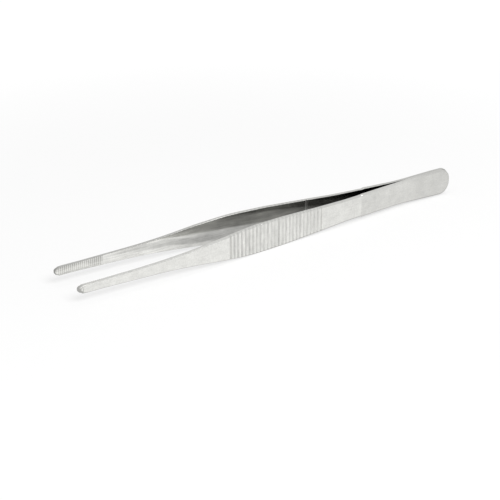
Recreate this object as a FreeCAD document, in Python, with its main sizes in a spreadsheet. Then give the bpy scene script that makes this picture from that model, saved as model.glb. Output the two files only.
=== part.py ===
"""Thumb forceps: two bowed steel arms, welded face to face at the heel.

The forceps lie on their long edges. X runs from the jaws to the heel, Y across the opening and Z up,
across the blades. Each arm is drawn in its own frame, with the tip of its jaw at x = 0, the weld face
at y = 0 and its middle plane at z = 0, and is then set in place: the left arm is turned half a turn
about X, so it is the right arm's mirror image, with its teeth half a pitch further on so that they mesh.
"""
import FreeCAD, Part
import math
import os
import Sketcher

# Driving dimensions in millimetres
SIZES = {
    # Stretches along X that follow each other, from the tip of the jaws to the end of the heel
    "front_length": 48.5,
    "grip_setback": 2.9,
    "grip_length": 36.2,
    "spring_length": 18.0,
    "panel_length": 17.9,
    "heel_length": 21.5,
    # Bow of the arm, seen from the side: openings between the inner faces of the two arms, at the tip,
    # at the bend in front of the grip, and at the back of the grip
    "tip_opening": 13.5,
    "bend_opening": 12.7,
    "grip_opening": 6.86,
    "bend_radius": 80.0,
    "weld_bend_radius": 100.0,
    # Thickness of the steel along the arm
    "jaw_thickness": 1.35,
    "jaw_relief": 0.15,
    "arm_thickness": 1.2,
    "spring_thickness": 1.2,
    "panel_rise": 0.15,
    # Outline of the blade, seen square to its face: full widths, and where along X they apply
    "tip_width": 2.45,
    "tip_radius": 1.15,
    "neck_at": 32.4,
    "neck_width": 3.92,
    "neck_radius": 240.0,
    "swell_setback": 8.3,
    "swell_length": 12.3,
    "grip_width": 9.3,
    "swell_front_radius": 80.0,
    "swell_back_radius": 120.0,
    "waist_setback": 10.4,
    "waist_width": 7.44,
    "waist_radius": 150.0,
    "panel_step": 0.12,
    "flare_setback": 16.4,
    "flare_radius": 120.0,
    "heel_flat": 7.0,
    "heel_flat_radius": 40.0,
    "heel_width": 8.54,
    "heel_radius": 3.8,
    # Rolled ridges on the outside of the grip
    "ridge_pitch": 1.448,
    "groove_width": 0.85,
    "groove_floor": 0.3,
    "groove_depth": 0.22,
    "stop_groove_depth": 0.32,
    # Shallow witness line across the inside of the arm, behind the grip
    "witness_width": 0.5,
    "witness_floor": 0.2,
    "witness_depth": 0.06,
    # Cross-cut teeth on the inside of the jaws
    "jaw_length": 15.7,
    "tooth_start": 0.5,
    "tooth_pitch": 0.65,
    "tooth_depth": 0.25,
    "tooth_crest": 0.12,
    # Broken edges round the blade
    "outer_bevel": 0.25,
    "inner_bevel": 0.08,
    # The rounded ends of the blade take no more than this share of its half width
    "rounding_share": 0.97,
    # Stock left round the blade before its outline is cut
    "stock_margin": 3.0,
}

# Places along X, and heights of the faces there, as expressions of the sheet
GRIP_FRONT = "(Sizes.front_length + Sizes.grip_setback)"
GRIP_BACK = f"({GRIP_FRONT} + Sizes.grip_length)"
PANEL_AT = f"({GRIP_BACK} + Sizes.spring_length)"
WELD_AT = f"({PANEL_AT} + Sizes.panel_length)"
HEEL_END = f"({WELD_AT} + Sizes.heel_length)"
GRIP_STRETCH = f"({GRIP_BACK} - Sizes.front_length)"
GRIP_FALL = f"((Sizes.bend_opening - Sizes.grip_opening) / 2 / {GRIP_STRETCH})"
SLOPE = f"(Sizes.grip_opening / 2 / ({WELD_AT} - {GRIP_BACK}))"
PANEL_INNER = f"(Sizes.panel_length * {SLOPE})"
BEND_OUTER = "(Sizes.bend_opening / 2 + Sizes.arm_thickness)"
PANEL_FRONT_OUTER = f"({PANEL_INNER} + Sizes.spring_thickness)"
GRIP_BACK_OUTER = "(Sizes.grip_opening / 2 + Sizes.arm_thickness)"
HEEL_THICKNESS = "(Sizes.spring_thickness + Sizes.panel_rise)"
PANEL_EDGE = "(Sizes.waist_width / 2 + Sizes.panel_step)"
TALLEST_WIDTH = "max(Sizes.grip_width; Sizes.heel_width)"

# The inner and outer faces of the blade look within this angle, in degrees, of straight across it
FACING_ANGLE = 25.0
NEARBY = 0.01


def make_sheet(doc):
    """The spreadsheet that holds the driving dimensions, one alias a row."""
    sheet = doc.addObject("Spreadsheet::Sheet", "Sizes")
    for row, (alias, value) in enumerate(SIZES.items(), 1):
        sheet.set(f"A{row}", alias)
        sheet.set(f"B{row}", str(value))
        sheet.setAlias(f"B{row}", alias)
    doc.recompute()
    return sheet


def origin_plane(body, role):
    """One of the body's own origin planes or axes, found by its role."""
    return next(item for item in body.Origin.OriginFeatures if item.Role == role)


def number(body, expression):
    """The value that an expression of the sheet has now, in millimetres."""
    value = body.evalExpression(expression)
    return float(getattr(value, "Value", value))


def new_sketch(body, name, role):
    """A sketch of the body, attached to one of its origin planes."""
    sketch = body.newObject("Sketcher::SketchObject", name)
    sketch.AttachmentSupport = (origin_plane(body, role), [""])
    sketch.MapMode = "FlatFace"
    return sketch


def bind(sketch, constraint, expression):
    """Add a dimension to a sketch and tie it to an expression of the sheet."""
    index = sketch.addConstraint(constraint)
    sketch.setExpression(f"Constraints[{index}]", expression)


def place_point(sketch, body, geometry, position, x, y):
    """Hold one point of a sketch at x and y, both expressions; a zero puts it on the axis."""
    if x == "0":
        sketch.addConstraint(Sketcher.Constraint("PointOnObject", geometry, position, -2))
    else:
        bind(sketch, Sketcher.Constraint("DistanceX", -1, 1, geometry, position, number(body, x)), x)
    if y == "0":
        sketch.addConstraint(Sketcher.Constraint("PointOnObject", geometry, position, -1))
    else:
        bind(sketch, Sketcher.Constraint("DistanceY", -1, 1, geometry, position, number(body, y)), y)


def corner_arc(before, corner, after, radius):
    """The arc that rounds a corner, its two ends, and whether it turns to the left."""
    to_before = (before - corner).normalize()
    to_after = (after - corner).normalize()
    half_inside = to_before.getAngle(to_after) / 2
    reach = radius / math.tan(half_inside)
    start = corner + to_before * reach
    end = corner + to_after * reach
    centre = corner + (to_before + to_after).normalize() * (radius / math.sin(half_inside))
    turns_left = (corner - before).cross(after - corner).z > 0
    first, last = (start, end) if turns_left else (end, start)
    angles = [math.atan2(point.y - centre.y, point.x - centre.x) for point in (first, last)]
    if angles[1] < angles[0]:
        angles[1] += 2 * math.pi
    circle = Part.Circle(centre, FreeCAD.Vector(0, 0, 1), radius)
    return Part.ArcOfCircle(circle, *angles), start, end, turns_left


def draw_outline(body, sketch, corners):
    """Draw a closed outline from its corners: x, y and, where the corner is rounded, a radius."""
    spots = [FreeCAD.Vector(number(body, x), number(body, y), 0) for x, y, _ in corners]
    count = len(corners)
    starts = list(spots)
    ends = list(spots)
    arcs = {}
    for index, (_, _, radius) in enumerate(corners):
        if radius:
            arc = corner_arc(spots[index - 1], spots[index], spots[(index + 1) % count],
                             number(body, radius))
            arcs[index] = arc
            ends[index], starts[index] = arc[1], arc[2]

    lines = [sketch.addGeometry(Part.LineSegment(starts[index], ends[(index + 1) % count]), False)
             for index in range(count)]
    for index, (x, y, radius) in enumerate(corners):
        arriving, leaving = lines[index - 1], lines[index]
        if not radius:
            sketch.addConstraint(Sketcher.Constraint("Coincident", arriving, 2, leaving, 1))
            place_point(sketch, body, leaving, 1, x, y)
            continue
        curve, _, _, turns_left = arcs[index]
        arc = sketch.addGeometry(curve, False)
        first, last = (1, 2) if turns_left else (2, 1)
        sketch.addConstraint(Sketcher.Constraint("Tangent", arriving, 2, arc, first))
        sketch.addConstraint(Sketcher.Constraint("Tangent", arc, last, leaving, 1))
        bind(sketch, Sketcher.Constraint("Radius", arc, number(body, radius)), radius)
        sharp = sketch.addGeometry(Part.Point(spots[index]), True)
        sketch.addConstraint(Sketcher.Constraint("PointOnObject", sharp, 1, arriving))
        sketch.addConstraint(Sketcher.Constraint("PointOnObject", sharp, 1, leaving))
        place_point(sketch, body, sharp, 1, x, y)


def cut_through(body, name, sketch):
    """Cut a sketch through the whole body, both ways from its plane."""
    pocket = body.newObject("PartDesign::Pocket", name)
    pocket.Profile = sketch
    pocket.SideType = "Symmetric"
    pocket.Type = "ThroughAll"
    return pocket


def bowed_blank(body):
    """The bent strip, seen from the side: thick at the heel and the jaw, thinned between them."""
    sketch = new_sketch(body, "SideView", "XY_Plane")
    draw_outline(body, sketch, [
        ("0", "Sizes.tip_opening / 2", None),
        ("Sizes.jaw_length", "Sizes.tip_opening / 2", None),
        ("Sizes.jaw_length", "Sizes.tip_opening / 2 + Sizes.jaw_relief", None),
        ("Sizes.front_length", "Sizes.bend_opening / 2", "Sizes.bend_radius"),
        (GRIP_BACK, "Sizes.grip_opening / 2", None),
        (WELD_AT, "0", "Sizes.weld_bend_radius"),
        (HEEL_END, "0", None),
        (HEEL_END, HEEL_THICKNESS, None),
        (WELD_AT, HEEL_THICKNESS, "Sizes.weld_bend_radius"),
        (PANEL_AT, f"{PANEL_INNER} + {HEEL_THICKNESS}", None),
        (PANEL_AT, PANEL_FRONT_OUTER, None),
        (GRIP_BACK, GRIP_BACK_OUTER, None),
        ("Sizes.front_length", BEND_OUTER, "Sizes.bend_radius + Sizes.arm_thickness"),
        ("0", "Sizes.tip_opening / 2 + Sizes.jaw_thickness", None),
    ])
    pad = body.newObject("PartDesign::Pad", "Strip")
    pad.Profile = sketch
    pad.SideType = "Symmetric"
    pad.setExpression("Length", f"{TALLEST_WIDTH} + 2 * Sizes.stock_margin")


def blade_outline(body):
    """Cut the strip to the blade's outline above its middle plane, and mirror the cut below it."""
    sketch = new_sketch(body, "Outline", "XZ_Plane")
    front, back = "-Sizes.stock_margin", f"{HEEL_END} + Sizes.stock_margin"
    top = f"{TALLEST_WIDTH} / 2 + 2 * Sizes.stock_margin"
    swell_front = f"{GRIP_FRONT} + Sizes.swell_setback"
    tip_radius = "min(Sizes.tip_radius; Sizes.rounding_share * Sizes.tip_width / 2)"
    heel_radius = "min(Sizes.heel_radius; Sizes.rounding_share * Sizes.heel_width / 2)"
    draw_outline(body, sketch, [
        (front, "0", None),
        ("0", "0", None),
        ("0", "Sizes.tip_width / 2", tip_radius),
        ("Sizes.neck_at", "Sizes.neck_width / 2", "Sizes.neck_radius"),
        (swell_front, "Sizes.grip_width / 2", "Sizes.swell_front_radius"),
        (f"{swell_front} + Sizes.swell_length", "Sizes.grip_width / 2", "Sizes.swell_back_radius"),
        (f"{GRIP_BACK} + Sizes.waist_setback", "Sizes.waist_width / 2", "Sizes.waist_radius"),
        (PANEL_AT, "Sizes.waist_width / 2", None),
        (PANEL_AT, PANEL_EDGE, None),
        (f"{PANEL_AT} + Sizes.flare_setback", PANEL_EDGE, "Sizes.flare_radius"),
        (f"{HEEL_END} - Sizes.heel_flat", "Sizes.heel_width / 2", "Sizes.heel_flat_radius"),
        (HEEL_END, "Sizes.heel_width / 2", heel_radius),
        (HEEL_END, "0", None),
        (back, "0", None),
        (back, top, None),
        (front, top, None),
    ])
    cut = cut_through(body, "OutlineCut", sketch)
    mirror = body.newObject("PartDesign::Mirrored", "OutlineMirror")
    mirror.Originals = [cut]
    mirror.MirrorPlane = (origin_plane(body, "XY_Plane"), [""])
    body.Tip = mirror


def rim_edges(body, shape, outward):
    """Names of the edges round the blade's outer face (outward is 1) or inner face (outward is -1)."""
    steps = [number(body, place) for place in ("Sizes.jaw_length", PANEL_AT)]
    across = FreeCAD.Vector(0, outward, 0)
    facing = math.radians(FACING_ANGLE)
    names = []
    for index, edge in enumerate(shape.Edges, 1):
        middle = edge.valueAt((edge.FirstParameter + edge.LastParameter) / 2)
        faces = shape.ancestorsOfType(edge, Part.Face)
        turns = [face.normalAt(*face.Surface.parameter(middle)).getAngle(across) for face in faces]
        is_step = any(abs(middle.x - step) < NEARBY for step in steps)
        if min(turns) < facing < max(turns) and not is_step:
            names.append(f"Edge{index}")
    return names


def bevel_rim(body, name, outward, size):
    """Break the edges round one face of the blade."""
    base = body.Tip
    edges = rim_edges(body, base.Shape, outward)
    bevel = body.newObject("PartDesign::Chamfer", name)
    bevel.Base = (base, edges)
    bevel.setExpression("Size", size)
    body.Tip = bevel


def outer_height(x):
    """The height of the arm's straight outer face at a place x between the bend and the grip's back."""
    return f"({BEND_OUTER} - ({x} - Sizes.front_length) * {GRIP_FALL})"


def inner_height(x):
    """The height of the arm's straight inner face at a place x between the grip's back and the weld."""
    return f"(({WELD_AT} - {x}) * {SLOPE})"


def groove_outline(body, sketch, x, height, feature, depth, outward):
    """Draw one flat-bottomed groove at x, cut into a sloping face whose height is given there."""
    half_width, half_floor = f"Sizes.{feature}_width / 2", f"Sizes.{feature}_floor / 2"
    sign = "+" if outward > 0 else "-"
    into = "-" if outward > 0 else "+"
    left, right = f"({x} - {half_width})", f"({x} + {half_width})"
    floor_left, floor_right = f"({x} - {half_floor})", f"({x} + {half_floor})"
    draw_outline(body, sketch, [
        (left, f"{height(left)} {sign} {depth}", None),
        (left, height(left), None),
        (floor_left, f"{height(floor_left)} {into} {depth}", None),
        (floor_right, f"{height(floor_right)} {into} {depth}", None),
        (right, height(right), None),
        (right, f"{height(right)} {sign} {depth}", None),
    ])


def grip_grooves(body, name, depth, count):
    """Grooves across the outer face, spread evenly from the front of the grip to its back."""
    sketch = new_sketch(body, name, "XY_Plane")
    groove_outline(body, sketch, GRIP_FRONT, outer_height, "groove", depth, 1)
    ends = [(place, outer_height(place)) for place in (GRIP_FRONT, GRIP_BACK)]
    front, back = [FreeCAD.Vector(number(body, x), number(body, y), 0) for x, y in ends]
    row = sketch.addGeometry(Part.LineSegment(front, back), True)
    for position, (x, y) in enumerate(ends, 1):
        place_point(sketch, body, row, position, x, y)

    pocket = cut_through(body, f"{name}Cut", sketch)
    pattern = body.newObject("PartDesign::LinearPattern", f"{name}Row")
    pattern.Originals = [pocket]
    pattern.Direction = (sketch, ["Axis0"])
    pattern.Mode = "Extent"
    pattern.setExpression("Length", f"Sizes.grip_length * sqrt(1 + {GRIP_FALL}^2)")
    pattern.setExpression("Occurrences", count)
    body.Tip = pattern


def witness_line(body):
    """The shallow line across the inner face, opposite the back of the grip."""
    sketch = new_sketch(body, "Witness", "XY_Plane")
    groove_outline(body, sketch, GRIP_BACK, inner_height, "witness", "Sizes.witness_depth", -1)
    body.Tip = cut_through(body, "WitnessCut", sketch)


def jaw_teeth(body, shift):
    """Transverse teeth: a row of vee cuts across the inner face of the jaw."""
    sketch = new_sketch(body, "Tooth", "XY_Plane")
    first = f"(Sizes.tooth_start + {shift})"
    cut_width = "(Sizes.tooth_pitch - Sizes.tooth_crest)"
    face = "Sizes.tip_opening / 2"
    draw_outline(body, sketch, [
        (first, face, None),
        (f"{first} + {cut_width}", face, None),
        (f"{first} + {cut_width} / 2", f"{face} + Sizes.tooth_depth", None),
    ])
    pocket = cut_through(body, "ToothCut", sketch)
    pattern = body.newObject("PartDesign::LinearPattern", "ToothRow")
    pattern.Originals = [pocket]
    pattern.Direction = (origin_plane(body, "X_Axis"), [""])
    pattern.Mode = "Spacing"
    pattern.setExpression("Offset", "Sizes.tooth_pitch")
    pattern.setExpression("Occurrences", f"floor((Sizes.jaw_length - {first}) / Sizes.tooth_pitch)")
    body.Tip = pattern


def make_arm(doc, name, half_turn, tooth_shift):
    """One arm of the forceps, placed on its side of the opening."""
    body = doc.addObject("PartDesign::Body", name)
    body.Label = name
    bowed_blank(body)
    doc.recompute()
    blade_outline(body)
    doc.recompute()
    bevel_rim(body, "OuterRim", 1, "Sizes.outer_bevel")
    doc.recompute()
    bevel_rim(body, "InnerRim", -1, "Sizes.inner_bevel")
    doc.recompute()
    grip_grooves(body, "Ridge", "Sizes.groove_depth", "round(Sizes.grip_length / Sizes.ridge_pitch) + 1")
    grip_grooves(body, "Stop", "Sizes.stop_groove_depth", "2")
    witness_line(body)
    jaw_teeth(body, tooth_shift)
    turn = FreeCAD.Rotation(FreeCAD.Vector(1, 0, 0), half_turn)
    body.Placement = FreeCAD.Placement(FreeCAD.Vector(), turn)
    body.setExpression("Placement.Base.x", f"-{HEEL_END} / 2")
    body.setExpression("Placement.Base.z", f"{TALLEST_WIDTH} / 2")
    doc.recompute()
    return body


def check(doc, bodies):
    """Stop before anything is written if a feature failed or a solid is unsound."""
    for item in doc.Objects:
        if {"Invalid", "Error"} & set(item.State):
            raise RuntimeError(f"{item.Name} failed: {item.State}")
    for body in bodies:
        if body.Shape.isNull() or not body.Shape.isValid() or len(body.Shape.Solids) != 1:
            raise RuntimeError(f"{body.Label} is not one sound solid")


doc = FreeCAD.newDocument("thumb_forceps")
make_sheet(doc)
arms = [
    make_arm(doc, "left_arm", 180, "Sizes.tooth_pitch / 2"),
    make_arm(doc, "right_arm", 0, "0"),
]
check(doc, arms)

os.makedirs("parts", exist_ok=True)
for arm in arms:
    arm.Shape.exportStep(f"parts/{arm.Label}.step")
    box = arm.Shape.BoundBox
    print(f"{arm.Label}: {arm.Shape.Volume:.1f} mm3, x {box.XMin:.2f} to {box.XMax:.2f}, "
          f"y {box.YMin:.2f} to {box.YMax:.2f}, z {box.ZMin:.2f} to {box.ZMax:.2f}")
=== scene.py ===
"""Looks of the thumb forceps: two bowed steel arms that lie on their long edges on a white floor."""

import math

import bmesh
import bpy
import numpy as np
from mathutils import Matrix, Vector


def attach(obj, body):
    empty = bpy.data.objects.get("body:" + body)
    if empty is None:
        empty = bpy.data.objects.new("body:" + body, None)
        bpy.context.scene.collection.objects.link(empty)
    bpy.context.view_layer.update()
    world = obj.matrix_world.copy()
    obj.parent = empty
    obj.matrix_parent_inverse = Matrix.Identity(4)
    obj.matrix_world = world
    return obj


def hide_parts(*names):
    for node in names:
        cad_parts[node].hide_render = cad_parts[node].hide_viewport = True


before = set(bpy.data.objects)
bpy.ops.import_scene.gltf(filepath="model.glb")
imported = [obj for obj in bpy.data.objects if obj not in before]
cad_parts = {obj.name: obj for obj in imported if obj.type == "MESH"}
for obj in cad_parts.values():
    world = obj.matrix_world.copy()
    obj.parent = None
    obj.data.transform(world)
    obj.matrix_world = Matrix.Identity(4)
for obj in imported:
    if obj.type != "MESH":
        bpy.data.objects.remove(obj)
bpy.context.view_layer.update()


# The blades of the two arms.
# Each is one strip of stainless steel, bowed, ground to its outline and thinned behind the grip.
# They are welded face to face along the heel, and nothing else holds them together.

# Lengths are in millimetres, and places along the arm are counted from its tip
MM = 0.001
ARM_LENGTH = 145.0
JAW_END = 15.7
SWELL = 48.5
GRIP_START, GRIP_END = 51.4, 87.6
NEAR_PANEL_START, FAR_PANEL_START = 105.1, 109.2
FLAT_START = 123.5
SEAM_START = 125.0
JAW_RAMP, PANEL_RAMP = 0.12, 0.40

# Half widths of the grip, the waist behind it, the heel panel and the rounded heel
GRIP_HALF, WAIST_HALF, PANEL_HALF, HEEL_HALF = 4.65, 3.72, 3.84, 4.27
NEAR_HEEL_RADIUS, FAR_HEEL_RADIUS = 3.7, 2.7
MIDDLE_HEIGHT = GRIP_HALF

# Heights of the faces over the plane between the arms: x, value and corner radius
INNER_FACE = [(0, 6.75, 0), (JAW_END, 6.75, 0), (JAW_END + JAW_RAMP, 6.90, 0), (SWELL, 6.35, 80),
              (GRIP_END, 3.43, 200), (SEAM_START, 0, 100), (ARM_LENGTH, 0, 0)]
OUTER_TIP, OUTER_SWELL, OUTER_GRIP_END, OUTER_PANEL, OUTER_HEEL = 8.10, 7.55, 4.63, 2.91, 1.35
OUTER_FALL = (OUTER_GRIP_END - OUTER_PANEL) / (NEAR_PANEL_START - GRIP_END)
PANEL_RISE = 0.14

# The broken edges of the steel: x, and how round the outer and inner edges are there
EDGE_PLACES = [0.0, 0.5, 1.3, 3.0, 46.0, 62.0, 112.0, 126.0]
OUTER_ROUND = [0.85, 0.85, 0.59, 0.25, 0.25, 0.40, 0.45, 0.45]
INNER_ROUND = [0.25, 0.23, 0.20, 0.10, 0.12, 0.30, 0.30, 0.16]
# The very ends of tip and heel are rounded this much less, so that their faces don't fold up
POLE_STEP = 0.02

# Hand grinding: the share of the half width gone from the top edge, and the heel's slant at the bottom
TRIM_PLACES = [0, 10, 25, 45]
TOP_TRIM = [0.20, 0.14, 0.07, 0.0]
SLANT_START, HEEL_SLANT, SLANT_HEIGHT = 138, 0.25, 3.0

# Rolled ridges on the grip, with deeper stops at its two ends, and the cross-cut teeth of the jaws
RIDGE_PITCH, GROOVES = 1.448, 26
GROOVE_WIDTH, GROOVE_FLOOR = 0.85, 0.28
GROOVE_DEPTH, DEPTH_SPREAD, STOP_DEPTH = 0.22, 0.4, 0.32
FIRST_TOOTH, TEETH = 0.5, 23
TOOTH_PITCH, TOOTH_WIDTH, TOOTH_DEPTH = 0.65, 0.53, 0.25
# A faint line inside each arm, level with the grip's end
WITNESS_DEPTH = 0.06

# Rings of the mesh on the plain lengths, and where the arcs round the tip and the heel take over
# Rings nearer than CLOSEST_RINGS are left out, and points nearer than MERGED become one
RING_STEP, CLOSEST_RINGS = 0.5, 0.02
FRONT_RINGS, REAR_RINGS_START, LAST_RING = (16.3, 50.2), 88.8, 140.6
TIP_ARC, HEEL_ARC = 1.25, 140.75
MERGED = 0.0002
OUTER, EDGE, INNER = range(3)


def rounded_line(corners):
    """Points along a line through corners, each drawn as an arc where it has a radius."""
    points = []
    for index, (x, y, radius) in enumerate(corners):
        corner = np.array((x, y), float)
        if not radius:
            points.append(corner)
            continue
        before = np.array(corners[index - 1][:2]) - corner
        after = np.array(corners[index + 1][:2]) - corner
        before /= np.linalg.norm(before)
        after /= np.linalg.norm(after)
        half = math.acos(np.clip(before @ after, -1, 1)) / 2
        middle = before + after
        centre = corner + middle / np.linalg.norm(middle) * radius / math.sin(half)
        ends = [corner + way * radius / math.tan(half) for way in (before, after)]
        first, last = [math.atan2(*(end - centre)[::-1]) for end in ends]
        sweep = (last - first + math.pi) % (2 * math.pi) - math.pi
        for angle in first + sweep * np.linspace(0, 1, 15):
            points.append(centre + radius * np.array((math.cos(angle), math.sin(angle))))
    return np.array(points)


def outer_face(panel_start):
    """Heights of the outer face, which steps up where the heel panel starts."""
    height = OUTER_GRIP_END - (panel_start - GRIP_END) * OUTER_FALL
    return [(0, OUTER_TIP, 0), (SWELL, OUTER_SWELL, 81.2), (GRIP_END, OUTER_GRIP_END, 200),
            (panel_start, height, 0), (panel_start + PANEL_RAMP, height + PANEL_RISE, 0),
            (FLAT_START, OUTER_HEEL, 100), (ARM_LENGTH, OUTER_HEEL, 0)]


def half_width(panel_start, heel_radius):
    """Half the width of the blade along the arm."""
    return [(0, 0, 0), (0, 1.10, 1.05), (9, 1.43, 60), (32.4, 1.96, 240), (59.7, GRIP_HALF, 80),
            (72, GRIP_HALF, 120), (98, WAIST_HALF, 150), (panel_start, WAIST_HALF, 0),
            (panel_start + PANEL_RAMP, PANEL_HALF, 0), (122, PANEL_HALF, 120), (138, HEEL_HALF, 40),
            (ARM_LENGTH, HEEL_HALF, heel_radius), (ARM_LENGTH, 0, 0)]


def stations(tooth_start, panel_start):
    """Places along the arm where its mesh has a ring, close together on the teeth and ridges."""
    ridge = np.array((-0.728, -0.60, -0.50, -0.43, -0.38, -0.32, -0.26, -0.20, -0.14, 0.0,
                      0.14, 0.20, 0.26, 0.32, 0.38, 0.43, 0.50, 0.60))
    tooth = TOOTH_WIDTH * np.array((0, 0.25, 0.5, 0.75, 1.0, 1.11))
    ridges = GRIP_START + RIDGE_PITCH * np.arange(GROOVES)
    teeth = tooth_start + TOOTH_PITCH * np.arange(TEETH)
    plain = [np.arange(*FRONT_RINGS, RING_STEP), np.arange(REAR_RINGS_START, panel_start - 0.3, RING_STEP),
             np.arange(panel_start + 0.6, LAST_RING, RING_STEP)]
    steps = [JAW_END, JAW_END + JAW_RAMP, panel_start - 0.1, panel_start, panel_start + PANEL_RAMP / 2,
             panel_start + PANEL_RAMP, panel_start + PANEL_RAMP + 0.1]
    places = np.concatenate([(ridges[:, None] + ridge).ravel(), (teeth[:, None] + tooth).ravel(),
                             *plain, steps])
    places = np.unique(places.round(4))
    places = places[(places > TIP_ARC + 0.05) & (places < HEEL_ARC - 0.05)]
    return places[np.append(True, np.diff(places) > CLOSEST_RINGS)]


def rim_of_blade(tooth_start, panel_start, heel_radius):
    """The upper half of the blade's outline, from tip to heel, and its outward directions."""
    line = rounded_line(half_width(panel_start, heel_radius))
    tip = line[line[:, 0] < TIP_ARC]
    heel = line[line[:, 0] > HEEL_ARC]
    body = line[(line[:, 0] >= TIP_ARC - 0.15) & (line[:, 0] <= HEEL_ARC + 0.25)]
    places = stations(tooth_start, panel_start)
    side = np.column_stack((places, np.interp(places, body[:, 0], body[:, 1])))
    rim = np.vstack((tip, side, heel))
    steps = np.diff(rim, axis=0)
    steps /= np.linalg.norm(steps, axis=1)[:, None]
    along = np.vstack((steps[:1], steps[:-1] + steps[1:], steps[-1:]))
    along /= np.linalg.norm(along, axis=1)[:, None]
    outward = np.column_stack((-along[:, 1], along[:, 0]))
    outward[0], outward[-1] = (-1, 0), (1, 0)
    return rim, outward


def blade_mesh(name, side, tooth_start, panel_start, heel_radius):
    """The smooth blade, without its ridges and teeth, as rings of points round the strip."""
    rim, outward = rim_of_blade(tooth_start, panel_start, heel_radius)
    inner, outer = rounded_line(INNER_FACE), rounded_line(outer_face(panel_start))
    outer_round = np.interp(rim[:, 0], EDGE_PLACES, OUTER_ROUND)
    inner_round = np.interp(rim[:, 0], EDGE_PLACES, INNER_ROUND)
    outer_round[[0, -1]] -= POLE_STEP
    inner_round[[0, -1]] -= POLE_STEP
    across = np.concatenate(([1.0, 0.97], np.linspace(0.88, -0.88, 11), [-0.97, -1.0]))
    turns = np.radians(np.linspace(90, 0, 6))[1:]
    lanes, finishes, corners = [], [], []

    def lane(inset, width, drop, from_outer, finish, corner=0.0):
        """One line of points from tip to heel."""
        x = rim[:, 0] - outward[:, 0] * inset
        z = (rim[:, 1] - outward[:, 1] * inset) * width
        face = np.interp(x, *(outer if from_outer else inner).T)
        y = face - drop if from_outer else face + drop
        lanes.append((x, y, z))
        finishes.append(finish)
        corners.append(corner)

    def edge(turned, width, from_outer):
        """The rounded edge of the outer or the inner face."""
        rounding, way = (outer_round, 1) if from_outer else (inner_round, -1)
        for turn in turned:
            inset, drop = rounding * (1 - math.cos(turn)), rounding * (1 - math.sin(turn))
            lane(inset, width, drop, from_outer, EDGE, way * math.sin(turn))

    def wall(shares, width):
        """Lines between the two rounded edges."""
        x, z = rim[:, 0], rim[:, 1] * width
        top = np.interp(x, *outer.T) - outer_round
        bottom = np.interp(x, *inner.T) + inner_round
        for share in shares:
            lanes.append((x, top + (bottom - top) * share, z))
            finishes.append(EDGE)
            corners.append(0.0)

    # A lane's finish is that of the faces after it, so the last lane of a flat face starts the edge
    for width in across:
        lane(outer_round, width, 0, True, OUTER)
    finishes[-1] = EDGE
    edge(turns, -1, True)
    wall((0.2, 0.5, 0.8), -1)
    edge(turns[::-1], -1, False)
    for width in -across:
        lane(inner_round, width, 0, False, INNER)
    finishes[-1] = EDGE
    edge(turns, 1, False)
    wall((0.8, 0.5, 0.2), 1)
    edge(turns[::-1], 1, True)

    points = np.array(lanes).transpose(2, 0, 1)
    trimmed = 1 - np.interp(points[..., 0], TRIM_PLACES, TOP_TRIM)
    points[..., 2] *= np.where(points[..., 2] > 0, trimmed, 1)
    slanted = np.interp(points[..., 0], [SLANT_START, ARM_LENGTH], [0, HEEL_SLANT])
    points[..., 0] -= slanted * np.clip(-points[..., 2] / SLANT_HEIGHT, 0, 1)
    rings, count = points.shape[:2]
    points = points.reshape(-1, 3)
    faces, finish = [], []
    for ring in range(rings - 1):
        for item in range(count):
            following = (item + 1) % count
            faces.append((ring * count + item, ring * count + following,
                          (ring + 1) * count + following, (ring + 1) * count + item))
            finish.append(finishes[item])

    x = points[:, 0]
    placed = np.column_stack((x - ARM_LENGTH / 2, side * points[:, 1], points[:, 2] + MIDDLE_HEIGHT))
    mesh = bpy.data.meshes.new(name)
    mesh.from_pydata((placed * MM).tolist(), [], faces)
    for attribute, values in (("outer_face", np.interp(x, *outer.T) * MM),
                              ("inner_face", np.interp(x, *inner.T) * MM),
                              ("corner", np.tile(corners, rings))):
        stored = mesh.attributes.new(attribute, "FLOAT", "POINT")
        stored.data.foreach_set("value", values)
    kinds = mesh.attributes.new("finish", "INT", "FACE")
    kinds.data.foreach_set("value", finish)
    work = bmesh.new()
    work.from_mesh(mesh)
    bmesh.ops.remove_doubles(work, verts=work.verts, dist=MERGED * MM)
    bmesh.ops.recalc_face_normals(work, faces=work.faces)
    work.to_mesh(mesh)
    work.free()
    return mesh


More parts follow.
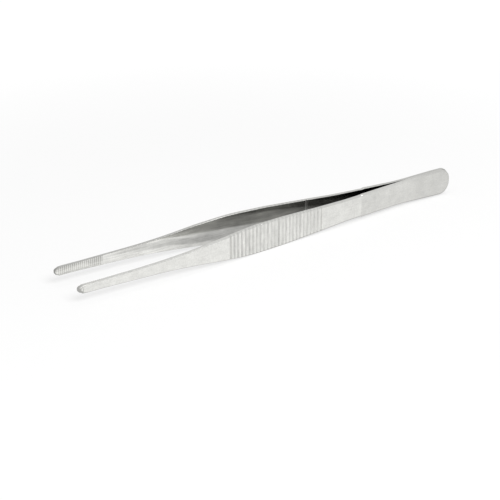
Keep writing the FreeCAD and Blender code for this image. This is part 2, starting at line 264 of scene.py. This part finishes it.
class Signal:
    """One socket of a node tree. Sums and products of signals add Math nodes to the tree."""

    def __init__(self, tree, socket=None):
        self.tree = tree
        self.socket = socket

    def node(self, kind, settings=None, inputs=None, output=0):
        """Add a node: its type, its settings, and then the values or links of its sockets."""
        made = self.tree.nodes.new(kind)
        for name, value in (settings or {}).items():
            setattr(made, name, value)
        for name, value in (inputs or {}).items():
            if isinstance(value, Signal):
                value.into(made.inputs[name])
            else:
                made.inputs[name].default_value = value
        return Signal(self.tree, made.outputs[output])

    def into(self, socket):
        """Link this signal to a socket of a node that is already there."""
        self.tree.links.new(self.socket, socket)

    def math(self, operation, *values):
        """A Math node on these values."""
        return self.node("ShaderNodeMath", {"operation": operation}, dict(enumerate(values)))

    def __add__(self, other):
        return self.math("ADD", self, other)

    __radd__ = __add__

    def __sub__(self, other):
        return self.math("SUBTRACT", self, other)

    def __rsub__(self, other):
        return self.math("SUBTRACT", other, self)

    def __mul__(self, other):
        return self.math("MULTIPLY", self, other)

    __rmul__ = __mul__

    def __truediv__(self, other):
        return self.math("DIVIDE", self, other)

    def __gt__(self, other):
        return self.math("GREATER_THAN", self, other)

    def __lt__(self, other):
        return self.math("LESS_THAN", self, other)

    def smooth(self, start, end):
        """A smooth rise from 0 at start to 1 at end."""
        return self.node("ShaderNodeMapRange", {"interpolation_type": "SMOOTHSTEP"},
                         {"Value": self, "From Min": start, "From Max": end})

    def between(self, start, full, fading, end):
        """A smooth rise from 0 to 1, and later a smooth fall back to 0."""
        return self.smooth(start, full) * (1 - self.smooth(fading, end))

    def split(self):
        """The x, y and z of this vector."""
        return [self.node("ShaderNodeSeparateXYZ", None, {"Vector": self}, output) for output in range(3)]


def cutting_tree():
    """Geometry nodes that press the ridges into the grip and cut the teeth into the jaw."""
    tree = bpy.data.node_groups.new("ridges_and_teeth", "GeometryNodeTree")
    tree.interface.new_socket("Blade", in_out="INPUT", socket_type="NodeSocketGeometry")
    for name in ("Side", "Grip Start", "Grip Length", "Ridge Pitch", "Groove Width", "Groove Floor",
                 "Groove Depth", "Depth Spread", "Stop Depth", "Witness Depth", "Tooth Start", "Tooth Pitch",
                 "Tooth Width", "Tooth Depth", "Jaw End"):
        tree.interface.new_socket(name, in_out="INPUT", socket_type="NodeSocketFloat")
    for name in ("Outer Finish", "Edge Finish", "Inner Finish"):
        tree.interface.new_socket(name, in_out="INPUT", socket_type="NodeSocketMaterial")
    tree.interface.new_socket("Cut Blade", in_out="OUTPUT", socket_type="NodeSocketGeometry")
    given = tree.nodes.new("NodeGroupInput")
    size = {socket.name: Signal(tree, socket) for socket in given.outputs}
    start = Signal(tree)

    x, y, z = start.node("GeometryNodeInputPosition").split()
    outer = start.node("GeometryNodeInputNamedAttribute", {"data_type": "FLOAT"}, {"Name": "outer_face"})
    inner = start.node("GeometryNodeInputNamedAttribute", {"data_type": "FLOAT"}, {"Name": "inner_face"})

    groove_side, groove_bottom = size["Groove Width"] / 2, size["Groove Floor"] / 2
    from_start = x - size["Grip Start"]
    past_end = from_start - size["Grip Length"]
    in_grip = (from_start > size["Ridge Pitch"] * -0.5) * (past_end < size["Ridge Pitch"] * 0.5)
    to_groove = start.math("PINGPONG", from_start, size["Ridge Pitch"] / 2)
    to_stop = start.math("PINGPONG", from_start, size["Grip Length"] / 2)
    number = start.math("ROUND", from_start / size["Ridge Pitch"])
    chance = start.node("FunctionNodeRandomValue", {"data_type": "FLOAT"}, {"ID": number, "Seed": 7}, 1)
    depth = size["Groove Depth"] * (1 - size["Depth Spread"] * chance)
    groove = to_groove.smooth(groove_side, groove_bottom) * depth
    stop = to_stop.smooth(groove_side, groove_bottom) * size["Stop Depth"]
    pressed = start.math("MAXIMUM", groove, stop) * in_grip

    to_witness = start.math("ABSOLUTE", past_end)
    witness = to_witness.smooth(size["Groove Width"] * 0.5, size["Groove Width"] * 0.1)
    from_tooth = x - size["Tooth Start"] - size["Tooth Width"] / 2
    to_tooth = start.math("PINGPONG", from_tooth, size["Tooth Pitch"] / 2)
    in_jaw = (x > size["Tooth Start"]) * (x < size["Jaw End"])
    tooth = start.math("MAXIMUM", 1 - to_tooth / (size["Tooth Width"] / 2), 0.0) * in_jaw
    cut = witness * size["Witness Depth"] + tooth * size["Tooth Depth"]

    reach = y * size["Side"]
    reach = start.math("MINIMUM", reach, outer - pressed)
    reach = start.math("MAXIMUM", reach, inner + cut)
    moved = start.node("ShaderNodeCombineXYZ", None, {"X": x, "Y": reach * size["Side"], "Z": z})
    shape = start.node("GeometryNodeSetPosition", None, {"Geometry": size["Blade"], "Position": moved})
    shape = start.node("GeometryNodeRealizeInstances", None, {"Geometry": shape})
    kind = start.node("GeometryNodeInputNamedAttribute", {"data_type": "INT"}, {"Name": "finish"})
    for finish, name in ((OUTER, "Outer Finish"), (EDGE, "Edge Finish"), (INNER, "Inner Finish")):
        chosen = start.node("FunctionNodeCompare", {"data_type": "INT", "operation": "EQUAL"},
                            {2: kind, 3: finish})
        shape = start.node("GeometryNodeSetMaterial", None,
                           {"Geometry": shape, "Selection": chosen, "Material": size[name]})
    shape.into(tree.nodes.new("NodeGroupOutput").inputs[0])
    return tree


def place_on_arm(name):
    """A new steel material: its start, and the place x, y, z on the arm in millimetres."""
    material = bpy.data.materials.new(name)
    material.use_nodes = True
    start = Signal(material.node_tree)
    place = start.node("ShaderNodeTexCoord", output="Object")
    x, y, z = [part / MM for part in place.split()]
    return material, start, place, (x + ARM_LENGTH / 2, y, z)


def grip_steps(x):
    """Smooth steps where the ridges of the grip start and where they end."""
    return x.smooth(GRIP_START - 0.45, GRIP_START - 0.25), x.smooth(GRIP_END + 0.25, GRIP_END + 0.45)


def lines(start, place, scale, detail=2.0):
    """Fine irregular lines or spots around 0, as close together as scale, in lines a metre."""
    stretched = start.node("ShaderNodeMapping", None, {"Vector": place, "Scale": scale})
    noise = start.node("ShaderNodeTexNoise", None,
                       {"Vector": stretched, "Scale": 1.0, "Detail": detail, "Roughness": 0.6})
    return (noise - 0.5) * 2.0


def finish_steel(material, start, tone, roughness, height=None):
    """Join the worked-out tone, roughness and surface height to the steel's shader."""
    shader = material.node_tree.nodes["Principled BSDF"].inputs
    shader["Metallic"].default_value = 1.0
    colour = start.node("ShaderNodeCombineColor", None,
                        {"Red": tone, "Green": tone * STEEL_GREEN, "Blue": tone * STEEL_BLUE})
    colour.into(shader["Base Color"])
    roughness.into(shader["Roughness"])
    if height:
        normal = start.node("ShaderNodeBump", None, {"Strength": 1.0, "Distance": 1.0, "Height": height})
        normal.into(shader["Normal"])


# Green and blue as shares of the steel's red, its grain in lines a metre, and its lines' depth in metres
STEEL_GREEN, STEEL_BLUE = 0.998, 0.962
FINE_GRAIN = (2300.0, 2300.0, 2300.0)
GROUND_DEPTH, DRAWN_DEPTH = 0.000003, 0.0000004

# Outside: satin ground, each length of the arm a little duller than the one before it, partly a change of
# finish and partly painted shade
satin, start, place, (x, y, z) = place_on_arm("satin_ground_steel")
on_grip, past_grip = grip_steps(x)
ridged = on_grip * (1 - past_grip)
panel = NEAR_PANEL_START + (y > 0.0) * (FAR_PANEL_START - NEAR_PANEL_START)
on_panel = (x - panel).smooth(-0.3, 0.4)
on_heel = x.smooth(127.0, 132.0)
from_start = x - GRIP_START
to_groove = start.math("PINGPONG", from_start, RIDGE_PITCH / 2)
crest = to_groove.smooth(0.18, 0.50)
ridge_number = start.math("ROUND", from_start / RIDGE_PITCH - 0.5)
ridge_chance = start.node("ShaderNodeTexWhiteNoise", {"noise_dimensions": "1D"}, {"W": ridge_number})
across_lines = lines(start, place, (1500.0, 300.0, 120.0))
rolled_lines = lines(start, place, (1250.0, 300.0, 300.0))
along_lines = lines(start, place, (130.0, 300.0, 5200.0))
spots = lines(start, place, (420.0, 420.0, 420.0))
# How unevenly the painted light and shade fall from ridge to ridge
uneven_ridge_shading = lines(start, place, (700.0, 300.0, 260.0))
blotches = lines(start, place, (190.0, 300.0, 260.0), 4.0)
grain = lines(start, place, FINE_GRAIN)
first_ridges = 1 - x.smooth(GRIP_START + 7.0, GRIP_START + 12.0)
# Painted highlight on the ridges' crests and painted shade in their grooves, uneven from ridge to ridge,
# with fine rolled lines over them
painted_ridge_shading_and_lines = crest * (0.04 + ridge_chance * 0.08 + uneven_ridge_shading * 0.06) - (1 - crest) * (0.07 + uneven_ridge_shading * 0.06)
painted_ridge_shading_and_lines = painted_ridge_shading_and_lines * (1 + first_ridges * 0.6) + rolled_lines * 0.26
tone = 0.787 - on_grip * 0.105 + past_grip * 0.046 - on_panel * 0.079 - on_heel * 0.046
# The ridges' painted light and shade, and painted shade over the first few millimetres at the tip
tone = tone * (1 + ridged * painted_ridge_shading_and_lines) * (1 - (1 - x.smooth(0.5, 3.0)) * 0.08)
mottled = along_lines * 0.08 + spots * 0.09 + blotches * 0.06 + grain * 0.13
brushed = across_lines * 0.03 + mottled * (1.3 - ridged * 0.4)
finish_steel(satin, start, tone * (1 + brushed), 0.33 + along_lines * 0.04 + spots * 0.04,
             (across_lines + along_lines) * GROUND_DEPTH)

# Edges: rubbed smooth and duller behind the grip, with painted shade along the bottom and most painted shade
# round the tips
# The right arm's edges are darker than the left arm's, and the ridges run out over them as painted light and
# shade
edged, start, place, (x, y, z) = place_on_arm("rubbed_edge_steel")
corner = start.node("ShaderNodeAttribute", {"attribute_name": "corner"}, output="Fac")
to_face = start.math("MAXIMUM", corner, 0.0)
behind = x.smooth(50.0, 68.0)
at_tip = 1 - x.smooth(0.3, 2.2)
heel_end = x.smooth(142.0, 143.5)
low = 1 - z.smooth(1.0, 4.0)
left_tone = 0.62 - behind * 0.055 + x.smooth(104.0, 118.0) * 0.04 - x.smooth(126.0, 136.0) * 0.065
right_tone = 0.46 + x.smooth(35.0, 55.0) * 0.06 - x.smooth(112.0, 128.0) * 0.02
tone = left_tone + (y > 0.0) * (right_tone - left_tone)
# Painted shade on the rounding next to the face at the front, and a painted highlight there behind the grip
tone = tone * (1 - to_face * (0.14 - behind * 0.24))
# Painted shade round the tip and at the heel's end
tone = tone * (1 - at_tip * (0.29 - to_face * 0.09)) * (1 - heel_end * 0.08)
# Painted shade on the lower edges behind the grip and most at the heel, where they face the shadow under the
# arm
tone = tone * (1 - low * (behind * 0.16 + x.smooth(122.0, 132.0) * 0.08))
on_grip, past_grip = grip_steps(x)
to_groove = start.math("PINGPONG", x - GRIP_START, RIDGE_PITCH / 2)
# Painted highlights on the ridges' crests and painted shade in their grooves, carried over the edges along
# the grip
painted_ridge_light_and_shade = on_grip * (1 - past_grip) * (to_groove.smooth(0.25, 0.62) - 0.5) * 0.12
rubbed = lines(start, place, (1200.0, 700.0, 300.0)) * 0.07
finish_steel(edged, start, tone * (1 + painted_ridge_light_and_shade + rubbed), 0.30 + rubbed + (1 - x.smooth(1.0, 4.0)) * 0.25)

# Inside: polished, bright towards the jaws and darker behind, where painted shade fills the narrowing gap,
# with drawn lines along the arm
polished, start, place, (x, y, z) = place_on_arm("polished_inner_steel")
witness = (1 - start.math("ABSOLUTE", x - GRIP_END).smooth(0.2, 0.8)) * (y > 0.0)
jaw = 1 - x.smooth(15.5, 16.0)
# A painted reflection: a grey band along the front length, which drops towards the grip
above = z - 5.2 + x.smooth(16.0, 36.0) * 1.1 + x.smooth(36.0, 48.0) * 1.8
below = 7.2 - x.smooth(22.0, 34.0) * 1.2 - x.smooth(36.0, 48.0) * 1.6 - z
painted_reflection_band = x.between(15.7, 24.0, 50.0, 60.0) * above.smooth(-0.35, 0.35) * below.smooth(-0.30, 0.30)
# Painted reflections inside the grip: paler and darker lengths
low_gleam = x.between(72.0, 82.0, 84.0, 91.0) * (1 - z.smooth(5.6, 7.0))
rear_gleam = x.between(70.0, 78.0, 83.0, 97.0)
over_gleam = (z - 6.3 + x.smooth(78.0, 88.0) * 1.0).smooth(-0.4, 0.4)
middle_shade = x.between(72.0, 77.0, 92.0, 98.0) * over_gleam * (1 - z.smooth(7.4, 8.2))
dark_reflection_under_rim = x.between(52.0, 60.0, 67.0, 76.0) * z.smooth(6.8, 8.2)
# Darker behind: painted shade in the narrowing gap between the arms
tone = 0.80 - x.smooth(30.0, 62.0) * 0.36 - x.smooth(70.0, 92.0) * 0.13 + witness * 0.12
tone = tone * (1 - painted_reflection_band * 0.27) * (1 - dark_reflection_under_rim * 0.32)
tone = tone * (1 + low_gleam * 0.17 + rear_gleam * 0.02 - middle_shade * 0.20)
# Painted shade on the jaw, more on its upper half and towards its rear
tone = tone * (1 - jaw * (0.06 + z.smooth(3.8, 5.4) * 0.12 + x.smooth(9.0, 13.0) * 0.06))
drawn = lines(start, place, (60.0, 800.0, 2600.0))
clouds = lines(start, place, (230.0, 160.0, 600.0), 4.0)
grain = lines(start, place, FINE_GRAIN)
# The front of the arm leans out a little, which only its reflections show
lean = x.between(14.0, 28.0, 42.0, 60.0) * 0.05
finish_steel(polished, start, tone * (1 + drawn * 0.36 + clouds * 0.30 + grain * 0.10),
             0.09 + drawn * 0.02 + clouds * 0.02 + witness * 0.2,
             drawn * DRAWN_DEPTH - lean * (z - MIDDLE_HEIGHT) * MM)

ridges_and_teeth = cutting_tree()
cuts = {"Grip Start": (GRIP_START - ARM_LENGTH / 2) * MM, "Grip Length": (GRIP_END - GRIP_START) * MM,
        "Ridge Pitch": RIDGE_PITCH * MM, "Groove Width": GROOVE_WIDTH * MM,
        "Groove Floor": GROOVE_FLOOR * MM, "Groove Depth": GROOVE_DEPTH * MM,
        "Depth Spread": DEPTH_SPREAD, "Stop Depth": STOP_DEPTH * MM, "Witness Depth": WITNESS_DEPTH * MM,
        "Tooth Pitch": TOOTH_PITCH * MM, "Tooth Width": TOOTH_WIDTH * MM, "Tooth Depth": TOOTH_DEPTH * MM,
        "Jaw End": (JAW_END - ARM_LENGTH / 2) * MM,
        "Outer Finish": satin, "Edge Finish": edged, "Inner Finish": polished}
sockets = {item.name: item.identifier for item in ridges_and_teeth.interface.items_tree}
SHARP_ANGLE = math.radians(35)

# The left arm's teeth are half a pitch farther on than the right arm's, so that the two sets mesh
for node_name, piece_name, side, tooth_start, panel_start, heel_radius in (
        ("left_arm", "left_blade", -1, FIRST_TOOTH + TOOTH_PITCH / 2, NEAR_PANEL_START, NEAR_HEEL_RADIUS),
        ("right_arm", "right_blade", 1, FIRST_TOOTH, FAR_PANEL_START, FAR_HEEL_RADIUS)):
    plain_mesh = blade_mesh(piece_name + "_plain", side, tooth_start, panel_start, heel_radius)
    plain = bpy.data.objects.new(piece_name + "_plain", plain_mesh)
    bpy.context.scene.collection.objects.link(plain)
    modifier = plain.modifiers.new("Cut", "NODES")
    modifier.node_group = ridges_and_teeth
    for name, value in cuts.items():
        modifier[sockets[name]] = value
    modifier[sockets["Side"]] = float(side)
    modifier[sockets["Tooth Start"]] = (tooth_start - ARM_LENGTH / 2) * MM
    depsgraph = bpy.context.evaluated_depsgraph_get()
    mesh = bpy.data.meshes.new_from_object(plain.evaluated_get(depsgraph))
    mesh.name = piece_name
    bpy.data.objects.remove(plain)
    mesh.shade_smooth()
    mesh.set_sharp_from_angle(angle=SHARP_ANGLE)
    blade = bpy.data.objects.new(piece_name, mesh)
    bpy.context.scene.collection.objects.link(blade)
    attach(blade, "root")
    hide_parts(node_name)


# The floor.
# A plain white sheet of matt board that the forceps lie on.

# Half the board's side, and how far from its middle it turns to the paler tone, in metres
BOARD_REACH = 6.0
FADE_START, FADE_END = 0.08, 0.30
BOARD_TONE, BOARD_GRAIN = 0.95, 0.006
# How much of plain white the camera sees on it near and far, and how much shiny things do
BOARD_WHITE = 1.07
BOARD_SEEN = 0.50
BOARD_AWAY = 0.90
BOARD_MIRRORED = 0.75


def seen_and_mirrored(start):
    """Whether a ray comes from the camera, and whether it comes off or through something shiny."""
    camera, glossy, through = [start.node("ShaderNodeLightPath", output=f"Is {kind} Ray")
                               for kind in ("Camera", "Glossy", "Transmission")]
    return camera, start.math("MAXIMUM", glossy, through)


floor_mesh = bpy.data.meshes.new("floor")
floor_mesh.from_pydata([(-BOARD_REACH, -BOARD_REACH, 0), (BOARD_REACH, -BOARD_REACH, 0),
                        (BOARD_REACH, BOARD_REACH, 0), (-BOARD_REACH, BOARD_REACH, 0)], [], [(0, 1, 2, 3)])
floor = bpy.data.objects.new("floor", floor_mesh)
bpy.context.scene.collection.objects.link(floor)
board = bpy.data.materials.new("white_board")
board.use_nodes = True
start = Signal(board.node_tree)
matt = board.node_tree.nodes["Principled BSDF"]
place = start.node("ShaderNodeTexCoord", output="Object")
grain = lines(start, place, (900.0, 900.0, 900.0))
white = BOARD_TONE + grain * BOARD_GRAIN
colour = start.node("ShaderNodeCombineColor", None, {"Red": white, "Green": white, "Blue": white})
colour.into(matt.inputs["Base Color"])
matt.inputs["Roughness"].default_value = 0.9
matt.inputs["Specular IOR Level"].default_value = 0.1
from_middle = start.node("ShaderNodeVectorMath", {"operation": "LENGTH"}, {0: place}, 1)
away = from_middle.smooth(FADE_START, FADE_END)
seen, mirrored = seen_and_mirrored(start)
plain_white = start.node("ShaderNodeEmission", None, {"Color": (1, 1, 1, 1), "Strength": BOARD_WHITE})
mixed = start.node("ShaderNodeMixShader", None,
                   {0: seen * (BOARD_SEEN + away * (BOARD_AWAY - BOARD_SEEN)) + mirrored * BOARD_MIRRORED,
                    1: Signal(start.tree, matt.outputs[0]), 2: plain_white})
mixed.into(board.node_tree.nodes["Material Output"].inputs["Surface"])
floor_mesh.materials.append(board)


# The light.
# A pale surround and one broad soft lamp above.

# The surround's strength as light on the forceps, and as the camera and shiny steel see it
SURROUND_FILL = 0.64
SURROUND_SHOWN = 0.95

world = bpy.data.worlds.new("studio")
bpy.context.scene.world = world
world.use_nodes = True
surround = Signal(world.node_tree)
shown = surround.math("MAXIMUM", *seen_and_mirrored(surround))
background = world.node_tree.nodes["Background"]
(SURROUND_FILL + shown * (SURROUND_SHOWN - SURROUND_FILL)).into(background.inputs["Strength"])
background.inputs["Color"].default_value = (1, 1, 1, 1)

lamp = bpy.data.lights.new("front_softbox", "AREA")
lamp.shape = "RECTANGLE"
lamp.size, lamp.size_y = 0.55, 0.40
lamp.energy = 3.6
lamp_object = bpy.data.objects.new("front_softbox", lamp)
lamp_object.location = (-0.02, -0.60, 0.62)
lamp_object.rotation_euler = (-lamp_object.location).to_track_quat("-Z", "Y").to_euler()
bpy.context.scene.collection.objects.link(lamp_object)


# The camera, at the photograph's viewing angle.
# Its place, in millimetres, and its aim come from fitting the arms' outline to the photograph.

CAMERA_PLACE = (-215.663, -300.301, 157.702)
CAMERA_AIM = (0.519307, 0.754944, -0.400473)

camera_data = bpy.data.cameras.new("camera")
camera_data.sensor_width = 36.0
camera_data.lens = 92.203
camera = bpy.data.objects.new("camera", camera_data)
camera.location = Vector(CAMERA_PLACE) * MM
camera.rotation_euler = Vector(CAMERA_AIM).to_track_quat("-Z", "Y").to_euler()
bpy.context.scene.collection.objects.link(camera)
bpy.context.scene.camera = camera
bpy.context.scene.view_settings.view_transform = "Standard"
